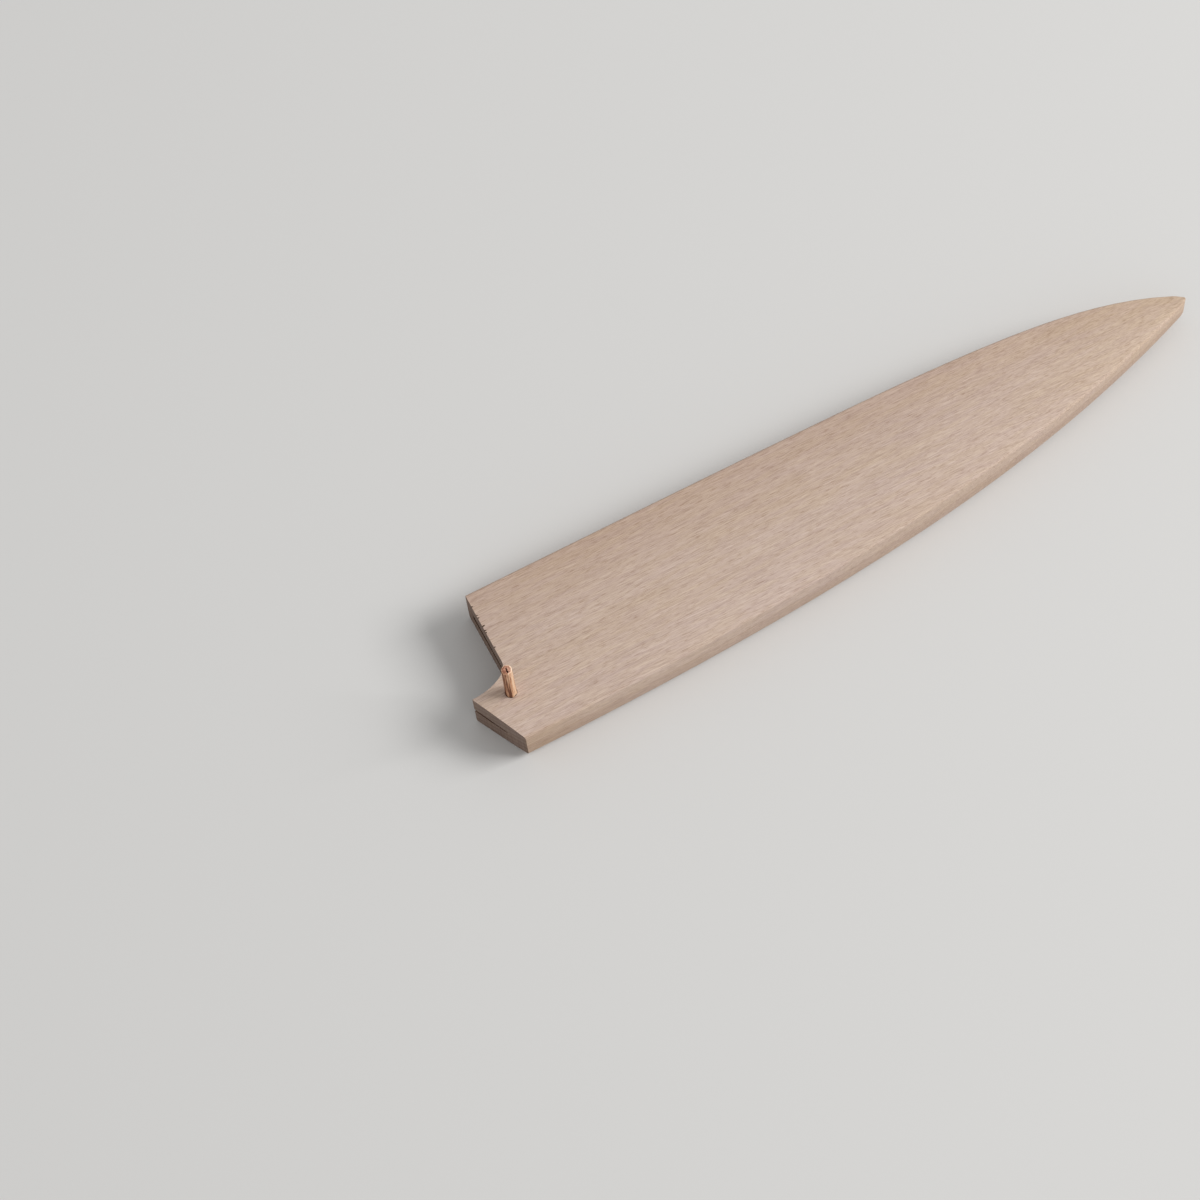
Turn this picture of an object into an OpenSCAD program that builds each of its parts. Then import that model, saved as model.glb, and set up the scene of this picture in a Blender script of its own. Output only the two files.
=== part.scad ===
// Wooden blade guard: two glued halves and a loose locking pin.
// It lies flat on one face. +X points to the tip, +Y to the spine side, +Z up.
// The origin is at the centre of the outline, on the face it lies on.

/* [Sheath] */
// Length from the mouth to the tip
sheath_len = 214.5; // [190:0.5:250]
// Width from spine to edge at the mouth
sheath_w = 44; // [41:0.5:54]
// Thickness at the spine side
spine_t = 14.2; // [13:0.1:17]
// Thickness at the edge side
edge_t = 11.4; // [10:0.1:12.8]
// Thickness at the tip
tip_t = 7.2; // [6:0.1:9.6]
// Width of the slope planed down to the edge side
slope_w = 18; // [12:0.5:24]
// Chamfer along the spine side
arris = 0.5; // [0.2:0.1:1]
// Radius of the rounding along the edge side
edge_round = 1; // [0.4:0.1:1.8]

/* [Tip] */
// Where the spine starts to drop, from the mouth
drop_start = 60; // [40:1:100]
// How far the spine drops at the tip
tip_drop = 13; // [10:0.5:16]
// Where the faces start to thin towards the tip, from the mouth
thin_start = 120; // [90:1:150]
// Width left between spine and edge at the tip
tip_gap = 2; // [1:0.1:4]
// Length of the rounding at the tip
tip_round = 2.5; // [1.5:0.1:4]

/* [Tab] */
// Depth of the straight part of the mouth
mouth_w = 22; // [18:0.5:24]
// Depth from the spine to the tab's inner corner
tab_top = 28; // [26:0.5:32]
// Reach of the tab's inner corner behind the mouth
tab_reach = 11.8; // [8:0.2:16]
// How far the tab's end slants forward
tab_slant = 7.6; // [4:0.1:9]

/* [Blade pocket] */
// Wood left along the spine, seen from above
spine_rail = 3.6; // [3:0.1:5]
// Wood left along the edge, seen from above
edge_rail = 6; // [4.6:0.1:7.5]
// Gap for the blade at its spine
pocket_spine = 2.9; // [2:0.1:4]
// Gap for the blade at its edge
pocket_edge = 0.4; // [0.3:0.1:1.5]

/* [Locking pin] */
// Radius of the pin's hole
hole_r = 1.7; // [1.5:0.05:2]
// Clearance between pin and hole on the radius
pin_gap = 0.04; // [0.01:0.01:0.1]
// Radius of the pin's upper end
pin_top_r = 1.45; // [1:0.05:1.5]
// Length of pin that stands above the sheath
pin_proud = 14.8; // [8:0.2:20]
// Height of the pin's lower end above the underside
pin_lift = 0.4; // [0.3:0.1:1]
// Chamfer on the pin's ends
pin_chamfer = 0.3; // [0.1:0.05:0.5]
// Distance of the pin behind the mouth
pin_back = 1.8; // [1:0.1:3]
// Distance of the pin from the spine
pin_down = 30.9; // [30.5:0.1:34]

/* [Hidden] */
past = 1;
mid = spine_t / 2;
mean_rail = (spine_rail + edge_rail) / 2;
blank_back = tab_reach + mean_rail + 2 * past;
centre_x = (sheath_len - tab_reach) / 2;
centre_y = -sheath_w / 2;
drop_share = 0.2;
drop_power = 7;
edge_share = 0.6;
edge_power = 4;
thin_power = 1.6;
slope_share = 0.6;
corner_share = 0.25;
slope_steps = 4;
arc_steps = 3;
body_steps = 10;
thin_steps = 18;
round_steps = 6;
round_end = 70;
notch_step = 9;

// Share of the way to the tip, from a place behind it
function along(x, from) = max(0, (x - from) / (sheath_len - from));

// Spine and edge lines of the outline, before the tip is rounded
function spine_line(x) = let (u = along(x, drop_start))
    -tip_drop * (drop_share * pow(u, 2) + (1 - drop_share) * pow(u, drop_power));
function edge_line(x) = let (u = along(x, 0))
    -sheath_w + (sheath_w - tip_drop - tip_gap)
        * (edge_share * pow(u, 2) + (1 - edge_share) * pow(u, edge_power));

// Share of the width that the tip's rounding leaves
function tip_share(x) = let (u = (x - sheath_len + tip_round) / tip_round)
    u <= 0 ? 1 : sqrt(1 - pow(u * sin(round_end), 2));
function middle(x) = (spine_line(x) + edge_line(x)) / 2;
function spine_y(x) = middle(x) + (spine_line(x) - middle(x)) * tip_share(x);
function edge_y(x) = middle(x) + (edge_line(x) - middle(x)) * tip_share(x);

// Half thickness at the spine side and at the edge side
function thinned(t, x) = (t - (t - tip_t) * pow(along(x, thin_start), thin_power)) / 2;
function slope_at(x) = min(slope_w, (spine_y(x) - edge_y(x)) * slope_share);

// Places along the sheath where its section is drawn
stations = concat(
    [-blank_back],
    [for (i = [0 : body_steps]) thin_start * i / body_steps],
    [for (i = [1 : thin_steps]) thin_start + (sheath_len - tip_round - thin_start) * i / thin_steps],
    [for (i = [1 : round_steps])
        sheath_len - tip_round * (1 - sin(round_end * i / round_steps) / sin(round_end))]);

// Section of one half at x, from the glue line at the spine round to the glue line at the edge
function section(x) = let (
        s = spine_y(x), e = edge_y(x),
        most = (s - e) * corner_share,
        c = min(arris, most), r = min(edge_round, most),
        hs = thinned(spine_t, x), he = thinned(edge_t, x))
    concat(
        [[x, s, 0], [x, s, hs - c], [x, s - c, hs]],
        [for (i = [slope_steps : -1 : 1]) let (a = i / slope_steps)
            [x, e + r + (slope_at(x) - r) * a, he + (hs - he) * (1 - pow(1 - a, 2))]],
        [for (i = [0 : arc_steps]) let (a = 90 * i / arc_steps)
            [x, e + r * (1 - sin(a)), he - r * (1 - cos(a))]],
        [[x, e, 0]]);

// Solid through rings of points, all with as many points and in the same order
module loft(rings) {
    n = len(rings[0]);
    last = (len(rings) - 1) * n;
    polyhedron(
        points = [for (ring = rings) each ring],
        faces = concat(
            [[for (k = [0 : n - 1]) k]],
            [for (j = [0 : len(rings) - 2], k = [0 : n - 1], half = [0, 1]) let (
                    a = j * n + k, b = j * n + (k + 1) % n, c = b + n, d = a + n)
                half == 0 ? [a, c, b] : [a, d, c]],
            [[for (k = [n - 1 : -1 : 0]) last + k]]));
}

module outline() {
    polygon(concat(
        [for (x = stations) [x, edge_y(x)]],
        [for (i = [len(stations) - 1 : -1 : 0]) [stations[i], spine_y(stations[i])]]));
}

// What is sawn off behind the mouth, the round notch and the slanted end of the tab
module mouth_cut() {
    run = tab_slant / (sheath_w - tab_top);
    linear_extrude(spine_t)
        polygon(concat(
            [[-blank_back - past, past], [0, past]],
            [for (a = [0 : notch_step : 90])
                [-tab_reach * (1 - cos(a)), -mouth_w - (tab_top - mouth_w) * sin(a)]],
            [[-tab_reach + run * (sheath_w + past - tab_top), -sheath_w - past],
             [-blank_back - past, -sheath_w - past]]));
}

// Hollow for half the blade's thickness: wide at its spine and narrow at its edge
module pocket() {
    intersection() {
        translate([0, mean_rail - spine_rail, -past]) linear_extrude(spine_t)
            offset(delta = -mean_rail) outline();
        translate([-blank_back - past, 0, 0]) rotate([90, 0, 90])
            linear_extrude(sheath_len + blank_back + 2 * past)
                polygon([[0, -past], [0, pocket_spine / 2],
                         [-sheath_w, pocket_edge / 2], [-sheath_w, -past]]);
    }
}

module half() {
    difference() {
        loft([for (x = stations) section(x)]);
        translate([0, 0, -past]) mouth_cut();
        pocket();
        translate([-pin_back, -pin_down, -past]) cylinder(r = hole_r, h = spine_t, $fn = 48);
    }
}

module upper_half() {
    color("burlywood") translate([-centre_x, -centre_y, mid]) half();
}

module lower_half() {
    color("tan") translate([-centre_x, -centre_y, mid]) mirror([0, 0, 1]) half();
}

module locking_pin() {
    pin_r = hole_r - pin_gap;
    top = spine_t + pin_proud;
    color("peru") translate([-centre_x - pin_back, -centre_y - pin_down, 0])
        rotate_extrude($fn = 48)
            polygon([[0, pin_lift], [pin_r - pin_chamfer, pin_lift], [pin_r, pin_lift + pin_chamfer],
                     [pin_r, spine_t], [pin_top_r, top - pin_chamfer],
                     [pin_top_r - pin_chamfer, top], [0, top]]);
}

upper_half();
lower_half();
locking_pin();
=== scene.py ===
# %% [markdown]
# # A wooden blade guard with its locking pin
# It is carved in two halves from a pale, fine-grained hardwood such as magnolia, glued face to
# face, planed and left bare. A split bamboo pin goes through a hole behind the mouth and keeps the
# blade from sliding out.
# The imported model comes first, because it fixes the size and place of every piece, and its box
# gives the sizes used below.

# %% Load the imported model
import math
import random

import bmesh
import bpy
from mathutils import Euler, Matrix, Vector


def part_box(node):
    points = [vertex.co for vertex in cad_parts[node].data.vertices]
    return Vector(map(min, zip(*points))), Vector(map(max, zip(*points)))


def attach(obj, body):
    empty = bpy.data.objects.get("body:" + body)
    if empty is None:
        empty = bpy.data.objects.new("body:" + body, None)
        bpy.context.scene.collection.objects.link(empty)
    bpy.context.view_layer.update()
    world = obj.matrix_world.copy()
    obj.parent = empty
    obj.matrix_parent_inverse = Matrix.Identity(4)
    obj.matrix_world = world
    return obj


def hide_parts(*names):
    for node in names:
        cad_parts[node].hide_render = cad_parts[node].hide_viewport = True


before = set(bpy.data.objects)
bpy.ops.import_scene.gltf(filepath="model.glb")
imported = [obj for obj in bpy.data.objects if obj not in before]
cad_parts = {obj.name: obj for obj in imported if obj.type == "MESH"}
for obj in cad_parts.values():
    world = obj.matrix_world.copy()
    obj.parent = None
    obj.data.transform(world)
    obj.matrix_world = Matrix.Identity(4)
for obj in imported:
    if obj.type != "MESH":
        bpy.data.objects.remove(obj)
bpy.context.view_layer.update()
MM = 0.001

# %% [markdown]
# The sheath lies flat, and the photograph looks down on it steeply from the edge side, with the tip
# to the right and a little further away. A long lens from about a metre off keeps its sides nearly
# parallel. The camera comes first, so that every later step can be looked at through it.

# %% Camera at the photograph's angle
AZIMUTH, ELEVATION, ROLL = -110.09, 65.46, 7.99
DISTANCE = 958.5 * MM
TARGET = Vector((-70.3, 3.48, 13.8)) * MM
LENS = 108


def direction(azimuth, elevation):
    """Unit vector towards a point at that azimuth, from +X, and elevation, both in degrees."""
    a, e = math.radians(azimuth), math.radians(elevation)
    return Vector((math.cos(e) * math.cos(a), math.cos(e) * math.sin(a), math.sin(e)))


camera = bpy.data.objects.new("camera", bpy.data.cameras.new("camera"))
bpy.context.scene.collection.objects.link(camera)
back = direction(AZIMUTH, ELEVATION)
turn = Matrix.Rotation(-math.radians(ROLL), 4, "Z")
camera.matrix_world = (Matrix.Translation(TARGET + back * DISTANCE)
                       @ back.to_track_quat("Z", "Y").to_matrix().to_4x4() @ turn)
camera.data.lens = LENS
bpy.context.scene.camera = camera
print("camera at", [round(v, 3) for v in camera.matrix_world.translation])

# %% [markdown]
# Colours are written as the hex values that a screen shows. Cycles works with linear light, so one
# function turns them. A second one adds a shader node with its links and settings in one call,
# which keeps each material short enough to read as a recipe.


# %% Colours and nodes
def linear(hex_value):
    """Linear colour with alpha from an sRGB hex value."""
    parts = [int(hex_value[i:i + 2], 16) / 255 for i in (0, 2, 4)]
    return [c / 12.92 if c <= 0.04045 else ((c + 0.055) / 1.055) ** 2.4 for c in parts] + [1]


def add(tree, kind, feeds=None, **settings):
    """Adds a node. Feeds give each socket an output or a value, and settings are its properties."""
    node = tree.nodes.new("ShaderNode" + kind)
    for key, value in settings.items():
        setattr(node, key, value)
    for socket, source in (feeds or {}).items():
        if isinstance(source, bpy.types.NodeSocket):
            tree.links.new(source, node.inputs[socket])
        else:
            node.inputs[socket].default_value = source
    return node


def new_material(name, roughness, ior=1.5):
    """A material, its tree and its shader, with roughness and IOR set on the shader itself."""
    material = bpy.data.materials.new(name)
    material.use_nodes = True
    shader = material.node_tree.nodes["Principled BSDF"]
    shader.inputs["Roughness"].default_value = roughness
    shader.inputs["IOR"].default_value = ior
    return material, material.node_tree, shader


# %% [markdown]
# ## The bare wood
# Magnolia is a pale, even hardwood with fine pores. Planed along the grain, it shows short dark
# dashes where the pores are cut lengthways, faint longer streaks, and broad pinkish and yellowish
# tones. A noise that is stretched along the grain, through the solid, gives all of these, because
# it shows dashes on the faces and dots across the grain, as real wood does. The same grain then
# serves several finishes: the planed faces, the sanded corners and the sawn ends.

# %% Grain through the solid
GRAIN_TURN = math.radians(1.5)
# Length and width of one streak of each kind, in mm
PORE = (2.4, 0.12)
FIBRE = (7, 0.2)
MOTTLE = (9, 1.5)
BAND = (50, 1.4)
BROAD = (70, 9)
glue_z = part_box("lower_half")[1].z
spine_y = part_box("upper_half")[1].y
tip_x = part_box("upper_half")[1].x
edge_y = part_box("upper_half")[0].y
tab_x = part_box("upper_half")[0].x


def streaks(tree, place, size, seed, detail=2):
    """Noise stretched along the grain. Size is the length and width of one streak in mm."""
    length, width = size[0] * MM, size[1] * MM
    stretch = add(tree, "Mapping", {
        "Vector": place, "Location": (seed, seed, seed), "Rotation": (0, 0, GRAIN_TURN),
        "Scale": (1 / length, 1 / width, 1 / width)})
    noise = add(tree, "TexNoise", {
        "Vector": stretch.outputs["Vector"], "Scale": 1, "Detail": detail, "Roughness": 0.55})
    return noise.outputs["Fac"]


def tint(tree, colour, value, start, full, hex_value):
    """Multiplies a colour by a tint that begins where a value is at start and is whole at full."""
    share = add(tree, "MapRange", {"Value": value, "From Min": start, "From Max": full})
    return add(tree, "Mix", {"Factor": share.outputs["Result"], "A": colour,
                             "B": linear(hex_value)},
               data_type="RGBA", blend_type="MULTIPLY").outputs["Result"]


print("glue line at", round(glue_z / MM, 2), "mm")

# %% [markdown]
# The tone of the real guard also changes with the place. The wood is tinted darker towards the spine
# and yellower at the tip. The lower board is tinted a touch darker than the upper one, a painted
# shade towards the bottom, and the glue line shows between them as a thin dark line. Near the tab,
# the edge wall is tinted warmer and a little darker, a painted shade on that shaded wall. Each of
# these is a tint that grows over a distance in millimetres, so it is described here by a coordinate
# and by where it begins and is whole.

# %% Shades by place
SPINE_TINT_REACH = 20 * MM
PALE_END = 60 * MM
GLUE_HALF = 0.06 * MM
WALL_DEPTH = 1.2 * MM
SHADED_WALL_REACH = 42 * MM


def shades(tree, place):
    """Each shade as its value, where its tint begins, where it is whole, and the tint."""
    spot = add(tree, "SeparateXYZ", {"Vector": place}).outputs
    wall = add(tree, "MapRange", {"Value": spot["Y"], "From Min": edge_y + WALL_DEPTH,
                                  "From Max": edge_y})
    # Painted shade: the edge wall near the tab is tinted warmer and a little darker.
    shaded_wall = add(tree, "MapRange", {"Value": spot["X"], "From Min": tab_x + SHADED_WALL_REACH,
                                     "From Max": tab_x, "To Max": wall.outputs["Result"]})
    joint = add(tree, "Math", {0: spot["Z"], 1: glue_z, 2: GLUE_HALF}, operation="COMPARE")
    # The first tint makes the wood darker towards the spine.
    return [(spot["Y"], spine_y - SPINE_TINT_REACH, spine_y, "F2EDE9"),
            (spot["X"], tip_x - PALE_END, tip_x, "FFFEF6"),
            # Painted shade: below the glue line the lower board is tinted a touch darker.
            (spot["Z"], glue_z + GLUE_HALF, glue_z - GLUE_HALF, "F6F2EF"),
            (shaded_wall.outputs["Result"], 0, 1, "F5EDDD"),
            (joint.outputs["Value"], 0, 1, "DCCFC4")]


print("darker from", round((spine_y - SPINE_TINT_REACH) / MM, 1), "mm to the spine")

# %% [markdown]
# Planed magnolia is smooth but not glossy. Its open pores break up the light, so its roughness is
# about 0.6, and they press a relief a few hundredths of a millimetre deep into it. Sanding rubs the
# corners paler and a little duller, and their paler colour is also a painted highlight along the
# edges. End grain soaks up the light, so the sawn ends are darker and rougher, and they are darkened
# further as a painted shade. The chisel leaves the hollow roughest, and little light gets into it, so
# its dark colour is a painted shade.
# One recipe serves all four: the fibres' colour, tinted by broad and small yellowish areas, by the
# pores and by the shades above.

# %% Planed, sanded, sawn and chiselled magnolia
BAND_SHARE = 0.28


def magnolia(name, dark, mid, pale, pore_tint, roughness, relief_depth):
    """Bare magnolia. Hex colours of its fibres, the tint of its pores and their depth in mm."""
    material, tree, shader = new_material(name, roughness)
    place = add(tree, "TexCoord").outputs["Object"]
    pores = streaks(tree, place, PORE, 37, 1)
    fibres = streaks(tree, place, FIBRE, 23, 4)
    bands = streaks(tree, place, BAND, 11, 3)
    tone = add(tree, "Math", {0: bands, 1: BAND_SHARE, 2: fibres}, operation="MULTIPLY_ADD")
    ramp = add(tree, "ValToRGB", {"Fac": tone.outputs["Value"]})
    stops = ramp.color_ramp.elements
    stops[0].position, stops[0].color = 0.44, linear(dark)
    stops[1].position, stops[1].color = 0.84, linear(pale)
    stops.new(0.64).color = linear(mid)

    colour = ramp.outputs["Color"]
    layers = [(streaks(tree, place, BROAD, 3), 0.35, 0.65, "FFFEF9"),
              (streaks(tree, place, MOTTLE, 51), 0.38, 0.62, "FFFFF9"),
              (pores, 0.53, 0.7, pore_tint)] + shades(tree, place)
    for value, start, full, hex_value in layers:
        colour = tint(tree, colour, value, start, full, hex_value)
    tree.links.new(colour, shader.inputs["Base Color"])

    open_pores = add(tree, "MapRange", {"Value": pores, "From Min": 0.5, "From Max": 0.7})
    relief = add(tree, "Math", {0: fibres, 1: open_pores.outputs["Result"]}, operation="SUBTRACT")
    bump = add(tree, "Bump", {"Height": relief.outputs["Value"], "Strength": 0.4,
                              "Distance": relief_depth * MM})
    tree.links.new(bump.outputs["Normal"], shader.inputs["Normal"])
    return material


planed = magnolia("planed_magnolia", "BBA397", "CBB4A7", "D8C3B6", "DDD2CB", 0.6, 0.04)
# The sanded corners are paler partly from sanding and partly as a painted highlight.
arris = magnolia("sanded_magnolia_arris_highlight", "D1B9AB", "E1CABB", "EFDBCE", "DFD0C5", 0.68, 0.02)
# The sawn ends are darker partly as end grain and partly as painted shade.
sawn = magnolia("sawn_magnolia_end_shaded", "85716A", "8F7B71", "998679", "CFC2B9", 0.85, 0.05)
# The hollow's dark colours are a painted shade for its unlit walls.
hollow = magnolia("chiselled_magnolia_hollow_shade", "624A3A", "745A48", "846A57", "B5A496", 0.9, 0.1)
FINISHES = [planed, arris, sawn, hollow]
print("finishes:", [m.name for m in FINISHES])

# %% [markdown]
# The saw left upright marks on the ends, and the tree's yearly rings show there as slanted bands
# that darken slowly and then end sharply, so they are a saw-tooth wave. Both are two more tints
# over the sawn finish.

# %% Saw marks and growth rings
SAW_MARK = 0.7 * MM
SAW_RUN = 25 * MM
RING = 2.4 * MM
RING_SLANT = math.radians(20)
RING_WANDER = 2.5
WAVE_LENGTH = math.tau / 20


def tint_over(material, value, start, full, hex_value):
    """Tints the colour of a finished material once more."""
    tree = material.node_tree
    base = tree.nodes["Principled BSDF"].inputs["Base Color"]
    tree.links.new(tint(tree, base.links[0].from_socket, value, start, full, hex_value), base)


tree = sawn.node_tree
place = add(tree, "TexCoord").outputs["Object"]
upright = add(tree, "Mapping", {
    "Vector": place, "Scale": (1 / SAW_MARK, 1 / SAW_MARK, 1 / SAW_RUN)})
marks = add(tree, "TexNoise", {"Vector": upright.outputs["Vector"], "Scale": 1})
tint_over(sawn, marks.outputs["Fac"], 0.45, 0.65, "EBE4E0")
slant = add(tree, "Mapping", {"Vector": place, "Rotation": (RING_SLANT, 0, 0)})
rings = add(tree, "TexWave", {"Vector": slant.outputs["Vector"], "Scale": WAVE_LENGTH / RING,
                              "Distortion": RING_WANDER, "Detail Scale": 0.4},
            bands_direction="Z", wave_profile="SAW")
tint_over(sawn, rings.outputs["Fac"], 0.6, 1, "DED4CD")
print(sawn.name, "has", len(tree.nodes), "nodes")

# %% [markdown]
# ## The two halves
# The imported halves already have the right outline, section and hollow, so a copy of each one stands
# for it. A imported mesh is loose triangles. The copy's doubles are merged and its flat faces made
# whole, so that a bevel can later run along its edges. Each copy rides on the sheath's body.

# %% Copies of the halves, merged
MERGE = 0.002 * MM
FLAT = math.radians(0.05)


def merged_copy(node, name):
    """A new object with the node's mesh, its loose triangles merged and flat faces made whole."""
    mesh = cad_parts[node].data.copy()
    shape = bmesh.new()
    shape.from_mesh(mesh)
    bmesh.ops.remove_doubles(shape, verts=shape.verts, dist=MERGE)
    bmesh.ops.dissolve_limit(shape, angle_limit=FLAT, verts=shape.verts, edges=shape.edges)
    shape.to_mesh(mesh)
    shape.free()
    mesh.name = name
    mesh.materials.clear()
    for finish in FINISHES:
        mesh.materials.append(finish)
    piece = bpy.data.objects.new(name, mesh)
    bpy.context.scene.collection.objects.link(piece)
    return piece


boards = []
for node, name in (("upper_half", "upper_board"), ("lower_half", "lower_board")):
    board = merged_copy(node, name)
    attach(board, "sheath")
    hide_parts(node)
    boards.append(board)
    print(name, "has", len(board.data.polygons), "faces")

# %% [markdown]
# The faces that the saw left, at the mouth, round the notch and across the tab, stand upright
# behind the mouth, and the walls of the hollow lie close to the glue line. Both are found by their
# place and their normals and get their own finishes. Everything else stays planed.

# %% Finishes by place
HAIR = 0.02 * MM
HOLLOW_HALF = 1.6 * MM
UPRIGHT = 0.1
EDGE_WALL = -0.5
mouth_x = min(v.co.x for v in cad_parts["upper_half"].data.vertices
              if v.co.y > spine_y - MM)


def pick_finishes(piece):
    """Gives the sawn faces and the walls of the hollow their own finishes."""
    counts = [0] * len(FINISHES)
    for face in piece.data.polygons:
        depth = abs(face.center.z - glue_z)
        upright = abs(face.normal.z) < UPRIGHT
        ceiling = face.normal.z * (face.center.z - glue_z) < 0
        if HAIR < depth < HOLLOW_HALF and (ceiling or depth < HOLLOW_HALF / 2):
            # The hollow's dark finish is a painted shade.
            face.material_index = FINISHES.index(hollow)
        elif upright and face.normal.y > EDGE_WALL and face.center.x < mouth_x + HAIR:
            face.material_index = FINISHES.index(sawn)
        counts[face.material_index] += 1
    print(piece.name, "faces by finish:", counts)


for board in boards:
    pick_finishes(board)

# %% [markdown]
# Small damage is cut into a finished piece by a Boolean modifier that is applied at once, and the
# new faces get a finish of their own. Its tools are small balls, squashed and turned. A ball with
# few faces leaves an angular floor, as torn wood has. The same two helpers serve the chips at the
# mouth, the splinters in the slot and the crack in the pin.


# %% Cutting and joining small forms
def balls(places):
    """Squashed balls in one bmesh, from the centre, half lengths and turn about Z of each one."""
    shape = bmesh.new()
    for centre, halves, degrees in places:
        turned = Matrix.Rotation(math.radians(degrees), 3, "Z").to_quaternion()
        bmesh.ops.create_icosphere(shape, subdivisions=1, radius=1, matrix=Matrix.LocRotScale(
            Vector(centre), turned, Vector(halves)))
    return shape


def reshape(piece, shape, finish, operation="DIFFERENCE"):
    """Cuts a bmesh out of a piece, or joins it on, and gives the new faces that finish."""
    mesh = bpy.data.meshes.new("tool")
    shape.to_mesh(mesh)
    shape.free()
    for material in piece.data.materials:
        mesh.materials.append(material)
    for face in mesh.polygons:
        face.material_index = finish
    tool = bpy.data.objects.new("tool", mesh)
    bpy.context.scene.collection.objects.link(tool)
    change = piece.modifiers.new("change", "BOOLEAN")
    change.operation, change.solver, change.object = operation, "EXACT", tool
    change.use_self = True
    bpy.context.view_layer.update()
    result = bpy.data.meshes.new_from_object(
        piece.evaluated_get(bpy.context.evaluated_depsgraph_get()))
    piece.modifiers.remove(change)
    piece.data = result
    bpy.data.objects.remove(tool)
    print(piece.name, "now has", len(result.polygons), "faces")


# %% [markdown]
# The saw tore a few slivers out of the top of the mouth where it came through the fibres. Their
# places are the real ones, and their depth and turn are drawn from seeded dice, so that they come out
# the same in every run. A torn floor is as rough as the hollow's walls and takes their dark finish, a
# painted shade for the unlit gap below.

# %% Chips along the mouth
# Distance from the spine of each torn spot, its reach into the face and its half length, in mm
CHIPS = [(3.9, 0.5, 0.18), (6.8, 0.7, 0.16), (7.7, 0.55, 0.22), (10.5, 0.95, 0.26),
         (11.8, 0.7, 0.2), (12.5, 0.4, 0.24), (17.3, 0.65, 0.22)]
CHIP_DEPTH = (0.35, 0.8)
CHIP_TURN = 18
face_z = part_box("upper_half")[1].z
dice = random.Random(4)
chips = balls([((mouth_x, spine_y - down * MM, face_z),
                (reach * MM, half * MM, dice.uniform(*CHIP_DEPTH) * MM),
                dice.uniform(-CHIP_TURN, CHIP_TURN)) for down, reach, half in CHIPS])
# Painted shade: the chips' floors take the hollow's dark finish.
reshape(boards[0], chips, FINISHES.index(hollow))

# %% [markdown]
# In the tab's slanted end the slot is narrow, and its far part is bridged by splinters that the saw
# left standing. Each is a five-sided cone, flattened along the cut, that leans a little. They are
# joined on to the lower board and stop just short of the upper one, as the boards are two pieces.
# The two ends of the slot's floor are found in the mesh, and everything is placed between them.

# %% Splinters in the slot
# Place of each splinter as a share of the slot's length from its narrow end, and half width in mm
SPLINTERS = [(0.03, 0.2), (0.08, 0.08), (0.13, 0.32), (0.19, 0.1), (0.25, 0.38), (0.32, 0.12),
             (0.37, 0.26), (0.41, 0.07)]
SPLINTER_THICK = 0.14 * MM
SPLINTER_TOP = 0.7
SPLINTER_INSET = (0.13, 0.2)
SPLINTER_LEAN = 12
SEAT = 0.15 * MM
corners = [v.co for v in boards[1].data.vertices]
inner = min(corners, key=lambda spot: spot.x)
outer = min((spot for spot in corners if spot.y < edge_y + HAIR), key=lambda spot: spot.x)
slot_ends = sorted((spot for spot in corners if spot.y < inner.y + HAIR and spot.x < outer.x
                    and HAIR < glue_z - spot.z < HOLLOW_HALF), key=lambda spot: spot.y)
far, near = slot_ends[0].copy(), slot_ends[-1].copy()
cut = near - far
inwards = Vector((cut.y, -cut.x, 0)).normalized()
splinters = bmesh.new()
for share, half in SPLINTERS:
    foot = far.lerp(near, share)
    height = 2 * (glue_z - foot.z) - HAIR + SEAT
    centre = foot + inwards * dice.uniform(*SPLINTER_INSET) * MM + Vector((0, 0, height / 2 - SEAT))
    lean = Euler((math.radians(dice.uniform(-SPLINTER_LEAN, SPLINTER_LEAN)), 0,
                  math.atan2(-cut.x, cut.y)))
    bmesh.ops.create_cone(splinters, cap_ends=True, segments=5, radius1=1, radius2=SPLINTER_TOP,
                          depth=height, matrix=Matrix.LocRotScale(
                              centre, lean, Vector((SPLINTER_THICK, half * MM, 1))))
reshape(boards[1], splinters, FINISHES.index(sawn), "UNION")
print("slot in the tab's end is", round(cut.length / MM, 1), "mm long")

# %% [markdown]
# A rub with sandpaper takes the sharpness off every outer corner. A Bevel modifier does this by
# edge weight, so that the corners on the glue line stay sharp, because the halves were planed
# together after gluing and the joint is flush. The rim of the pin's hole gets only a touch.
# The wood is smooth across its gentle curves, so an edge counts as a corner only where its faces
# meet at more than 25 degrees.

# %% Rounded corners
SHARP = math.radians(25)
ARRIS = 0.25 * MM
HOLE_SHARE = 0.4
HOLE_REACH = 1.2
pin_low, pin_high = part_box("locking_pin")
pin_x, pin_y = (pin_low.x + pin_high.x) / 2, (pin_low.y + pin_high.y) / 2
pin_r = (pin_high.x - pin_low.x) / 2


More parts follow.
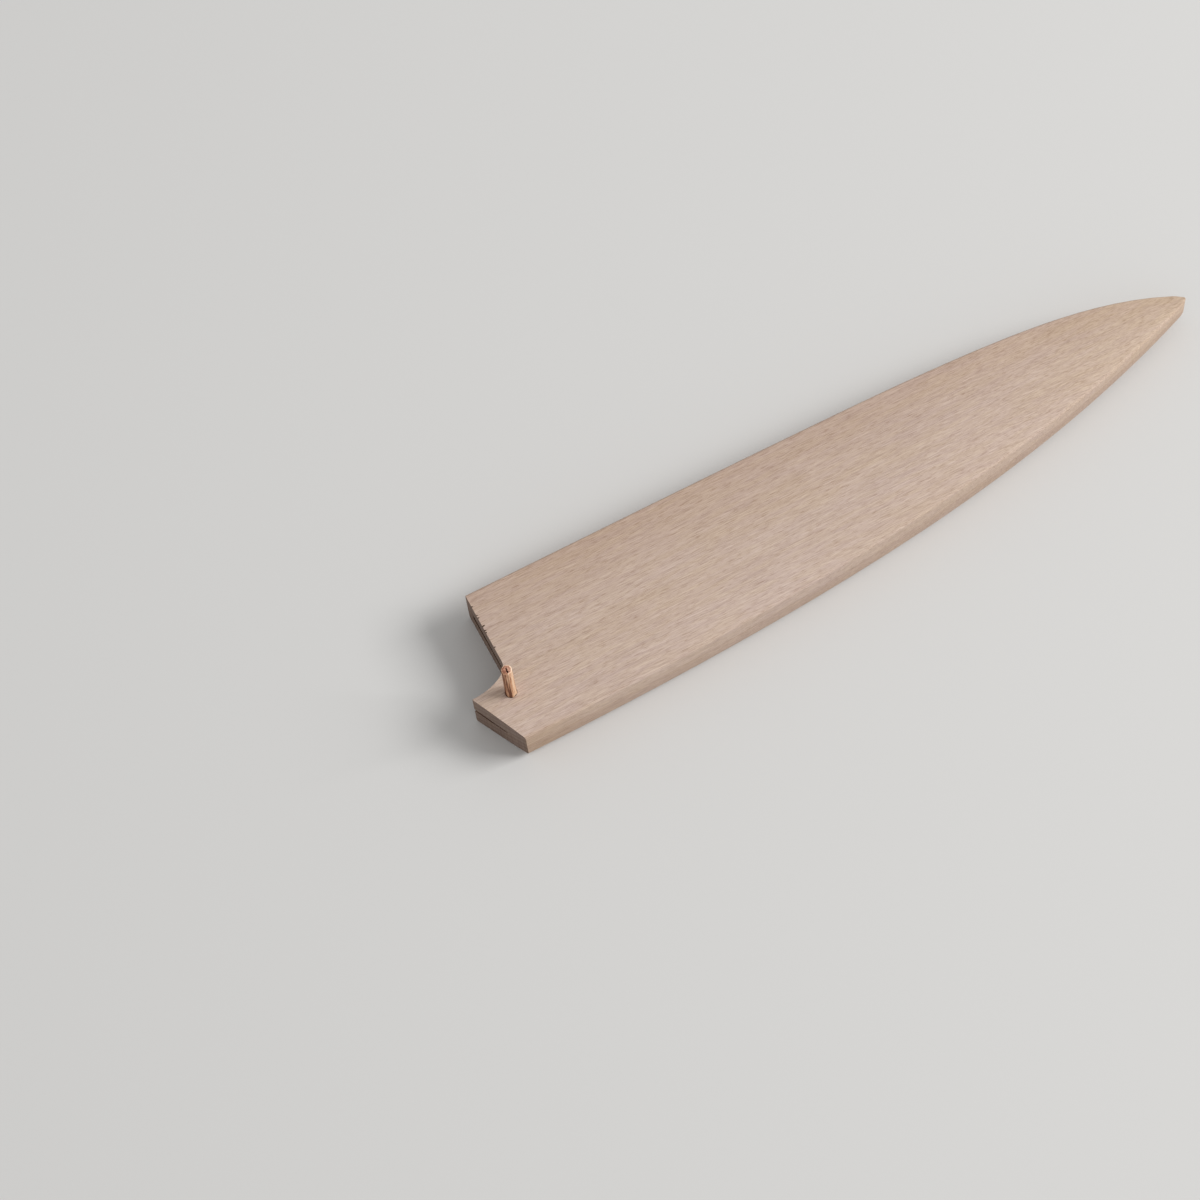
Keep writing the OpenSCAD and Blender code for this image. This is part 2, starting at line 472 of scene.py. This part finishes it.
def round_arrises(piece):
    """Rounds the sharp outer edges, but none on the glue line, in a chip or down the round nose."""
    shape = bmesh.new()
    shape.from_mesh(piece.data)
    weight = shape.edges.layers.float.new("bevel_weight_edge")
    count = 0
    for face in shape.faces:
        face.smooth = True
    for edge in shape.edges:
        middle = (edge.verts[0].co + edge.verts[1].co) / 2
        if len(edge.link_faces) != 2 or edge.calc_face_angle() < SHARP or middle.x > tip_x - HAIR:
            continue
        edge.smooth = False
        inner = abs(middle.z - glue_z) < HOLLOW_HALF
        if inner or edge.calc_length() < ARRIS * 2:
            continue
        from_pin = math.hypot(middle.x - pin_x, middle.y - pin_y)
        edge[weight] = HOLE_SHARE if from_pin < pin_r * HOLE_REACH else 1
        count += 1
    shape.to_mesh(piece.data)
    shape.free()
    rounding = piece.modifiers.new("arris", "BEVEL")
    rounding.width = ARRIS
    rounding.segments = 2
    rounding.limit_method = "WEIGHT"
    rounding.harden_normals = True
    # The bevel faces take the sanded finish, whose paler colour is partly a painted highlight along
    # the edges.
    rounding.material = FINISHES.index(arris)
    print(piece.name, "has", count, "rounded edges")


for board in boards:
    round_arrises(board)

# %% [markdown]
# ## The pin
# The pin is a sliver of bamboo, split from the stem and whittled to fit its hole. A spin of its
# profile gives the round stick, and each whittling stroke is a plane that slices a long flat
# off it and closes the cut. Its tapered upper end stands well above the wood, to be gripped.

# %% A stick, whittled
PIN_SIDES = 36
END_CHAMFER = 0.3 * MM
NECK_SHARE = 0.88
# Azimuth of each stroke in degrees, its distance from the axis as a share of the radius at the
# sheath's face, and how much it leans inwards going up, in degrees
STROKES = [(-155, 0.91, 0.3), (-112, 0.94, 0.7), (-68, 0.88, 0.4), (-15, 0.93, 0.6),
           (35, 0.9, 0.3), (82, 0.93, 0.7), (122, 0.9, 0.4), (165, 0.93, 0.5)]

shape = bmesh.new()
neck_r = pin_r * NECK_SHARE
profile = [(0, pin_low.z), (pin_r - END_CHAMFER, pin_low.z), (pin_r, pin_low.z + END_CHAMFER),
           (pin_r, face_z), (neck_r, pin_high.z - END_CHAMFER),
           (neck_r - END_CHAMFER, pin_high.z), (0, pin_high.z)]
verts = [shape.verts.new((pin_x + r, pin_y, z)) for r, z in profile]
edges = [shape.edges.new(pair) for pair in zip(verts, verts[1:])]
bmesh.ops.spin(shape, geom=verts + edges, cent=(pin_x, pin_y, 0), axis=(0, 0, 1), steps=PIN_SIDES,
               angle=math.tau, use_merge=True)
bmesh.ops.remove_doubles(shape, verts=shape.verts, dist=MERGE / 2)
for azimuth, share, lean in STROKES:
    out = direction(azimuth, lean)
    spot = Vector((pin_x, pin_y, face_z)) + direction(azimuth, 0) * (share * pin_r)
    everything = list(shape.verts) + list(shape.edges) + list(shape.faces)
    bmesh.ops.bisect_plane(shape, geom=everything, dist=MERGE / 2, plane_co=spot, plane_no=out,
                           clear_outer=True)
    bmesh.ops.holes_fill(shape, edges=[e for e in shape.edges if e.is_boundary], sides=0)
bmesh.ops.recalc_face_normals(shape, faces=shape.faces)
mesh = bpy.data.meshes.new("whittled_pin")
shape.to_mesh(mesh)
shape.free()
whittled = bpy.data.objects.new("whittled_pin", mesh)
bpy.context.scene.collection.objects.link(whittled)
print("whittled pin has", len(mesh.polygons), "faces")

# %% [markdown]
# Bamboo has long straight fibres in bundles, dark near the skin's inner side and light between.
# Split and whittled, they show as strong brown and orange streaks along the pin, and as dots on its
# sawn end, which is redder and has a dark drying crack. The side away from the lamp is tinted darker,
# as a painted shade. The surface has a low natural sheen.

# %% Split bamboo, its whittled rim and its sawn end
# Width and length of the bundles and of the fine lines in them, in mm
SPLIT_STREAK = (0.42, 14)
SPLIT_LINE = (0.09, 2.2)
LINE_SHARE = 0.32
SHADED_SIDE = direction(180, 0)
SIDE_SHADE_SHARE = 0.17
SPLIT_RELIEF = 0.06 * MM
BUNDLE = 0.32 * MM


def bamboo(name, dark, mid, pale, roughness):
    """Split bamboo. Hex colours of its fibres, from the dark bundles to the pale pith between."""
    material, tree, shader = new_material(name, roughness)
    place = add(tree, "TexCoord").outputs["Object"]
    layers = []
    for width, length in (SPLIT_STREAK, SPLIT_LINE):
        stretch = add(tree, "Mapping", {
            "Vector": place, "Location": (7, 7, 7),
            "Scale": (1 / (width * MM), 1 / (width * MM), 1 / (length * MM))})
        layers.append(add(tree, "TexNoise", {"Vector": stretch.outputs["Vector"], "Scale": 1,
                                             "Detail": 3}).outputs["Fac"])
    bundles, lines = layers
    fibres = add(tree, "Math", {0: lines, 1: LINE_SHARE, 2: bundles}, operation="MULTIPLY_ADD")
    # Painted shade: the fibres darken towards the side away from the lamp.
    middle = add(tree, "Mapping", {"Vector": place, "Location": (-pin_x, -pin_y, 0)})
    side = add(tree, "VectorMath", {0: middle.outputs["Vector"], 1: -SHADED_SIDE / pin_r},
               operation="DOT_PRODUCT")
    tone = add(tree, "Math", {0: side.outputs["Value"], 1: SIDE_SHADE_SHARE, 2: fibres.outputs["Value"]},
               operation="MULTIPLY_ADD")
    ramp = add(tree, "ValToRGB", {"Fac": tone.outputs["Value"]})
    stops = ramp.color_ramp.elements
    stops[0].position, stops[0].color = 0.54, linear(dark)
    stops[1].position, stops[1].color = 0.77, linear(pale)
    stops.new(0.64).color = linear(mid)
    tree.links.new(ramp.outputs["Color"], shader.inputs["Base Color"])
    bump = add(tree, "Bump", {"Height": fibres.outputs["Value"], "Strength": 0.5,
                              "Distance": SPLIT_RELIEF})
    tree.links.new(bump.outputs["Normal"], shader.inputs["Normal"])
    return material


split = bamboo("split_bamboo", "774830", "C88F69", "EFCBAA", 0.75)
# The rim's pale colours are partly fresh-cut fibre and partly a painted highlight.
rim = bamboo("whittled_bamboo_rim_highlight", "BF8866", "E4B795", "F6DABF", 0.65)
cut_end = bamboo("sawn_bamboo_end", "965F48", "B27C63", "D3A288", 0.7)
tree = cut_end.node_tree
dots = add(tree, "TexVoronoi", {"Vector": add(tree, "TexCoord").outputs["Object"],
                                "Scale": 1 / BUNDLE})
tint_over(cut_end, dots.outputs["Distance"], 0.34, 0.16, "9C7A68")
print("bamboo:", [m.name for m in (split, rim, cut_end)])

# %% [markdown]
# A drying crack runs across the top end. It is deep and unlit, so its finish is a dark brown that
# only varies a little. The crack is cut with the same helper as the chips. The sawn ends are found by
# their normals, and the chamfer whittled round them is the pale rim, paler partly as fresh-cut fibre
# and partly as a painted highlight.

# %% Finishes and crack of the pin
CRACK_SPECK = 0.3 * MM
# Two bites that meet, as a place from the pin's axis, half lengths in mm and a turn in degrees
CRACK = [((-0.06, -0.6), (0.27, 0.5, 1.2), 9), ((0.04, 0.05), (0.19, 0.6, 0.9), -10)]
END_NORMAL = 0.95
RIM_NORMAL = 0.3
crack, tree, shader = new_material("drying_crack", 0.9)
depth = add(tree, "TexNoise", {"Vector": add(tree, "TexCoord").outputs["Object"],
                               "Scale": 1 / CRACK_SPECK})
ramp = add(tree, "ValToRGB", {"Fac": depth.outputs["Fac"]})
ramp.color_ramp.elements[0].color = linear("2A140C")
ramp.color_ramp.elements[1].color = linear("5C3222")
tree.links.new(ramp.outputs["Color"], shader.inputs["Base Color"])
PIN_FINISHES = [split, rim, cut_end, crack]
for finish in PIN_FINISHES:
    whittled.data.materials.append(finish)
for face in whittled.data.polygons:
    if abs(face.normal.z) > END_NORMAL:
        face.material_index = PIN_FINISHES.index(cut_end)
    elif abs(face.normal.z) > RIM_NORMAL:
        face.material_index = PIN_FINISHES.index(rim)
gap = balls([((pin_x + x * MM, pin_y + y * MM, pin_high.z), Vector(halves) * MM, degrees)
             for (x, y), halves, degrees in CRACK])
reshape(whittled, gap, PIN_FINISHES.index(crack))

# %% [markdown]
# A fine bevel takes the razor edge off the whittled flats, so that each one catches the light on
# its own. The flats meet at small angles, so the pin's limit for a sharp edge is lower than the
# boards'.

# %% Fine bevel of the pin
FLAT_SHARP = math.radians(14)
SOFT_LIMIT = math.radians(20)
SOFT_EDGE = 0.05 * MM
for face in whittled.data.polygons:
    face.use_smooth = True
whittled.data.set_sharp_from_angle(angle=FLAT_SHARP)
soften = whittled.modifiers.new("soften", "BEVEL")
soften.width = SOFT_EDGE
soften.segments = 2
soften.limit_method = "ANGLE"
soften.angle_limit = SOFT_LIMIT
soften.harden_normals = True
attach(whittled, "pin")
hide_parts("locking_pin")
print("pin is", round((pin_high.z - pin_low.z) / MM, 1), "mm long")

# %% [markdown]
# ## Floor and light
# A pale floor and one big soft lamp to the right give the photograph's soft shadows. The lamp
# stands beyond the tip, so that the edge wall turns from shaded at the mouth to bright at the tip.
# The world fills the shadows, and the two together light a level face at the strength at which
# colours render about as they are written.

# %% Floor, lamp and world
LAMP_FROM = (-22, 38)
LAMP_DISTANCE = 2.6
LAMP_SIZE = 1.25
LAMP_SHARE = 0.48
WORLD_SHARE = 0.49
FLOOR_SIZE = 8
FLOOR_DROP = 0.05 * MM

bpy.ops.mesh.primitive_plane_add(size=FLOOR_SIZE, location=(0, 0, -FLOOR_DROP))
floor = bpy.context.object
floor.name = "floor"
floor_paint, tree, shader = new_material("pale_floor", 0.9, 1.3)
shader.inputs["Base Color"].default_value = linear("DCDBD9")
floor.data.materials.append(floor_paint)

lamp = bpy.data.objects.new("softbox", bpy.data.lights.new("softbox", "AREA"))
bpy.context.scene.collection.objects.link(lamp)
towards = direction(*LAMP_FROM)
lamp.location = towards * LAMP_DISTANCE
lamp.rotation_euler = towards.to_track_quat("Z", "Y").to_euler()
lamp.data.size = LAMP_SIZE
lamp.data.energy = LAMP_SHARE * (math.pi * LAMP_DISTANCE) ** 2 / towards.z
print("lamp of", round(lamp.data.energy, 1), "W")

world = bpy.data.worlds.new("studio")
bpy.context.scene.world = world
world.use_nodes = True
world.node_tree.nodes["Background"].inputs["Color"].default_value = (1, 1, 1, 1)
world.node_tree.nodes["Background"].inputs["Strength"].default_value = WORLD_SHARE
bpy.context.scene.view_settings.view_transform = "Standard"
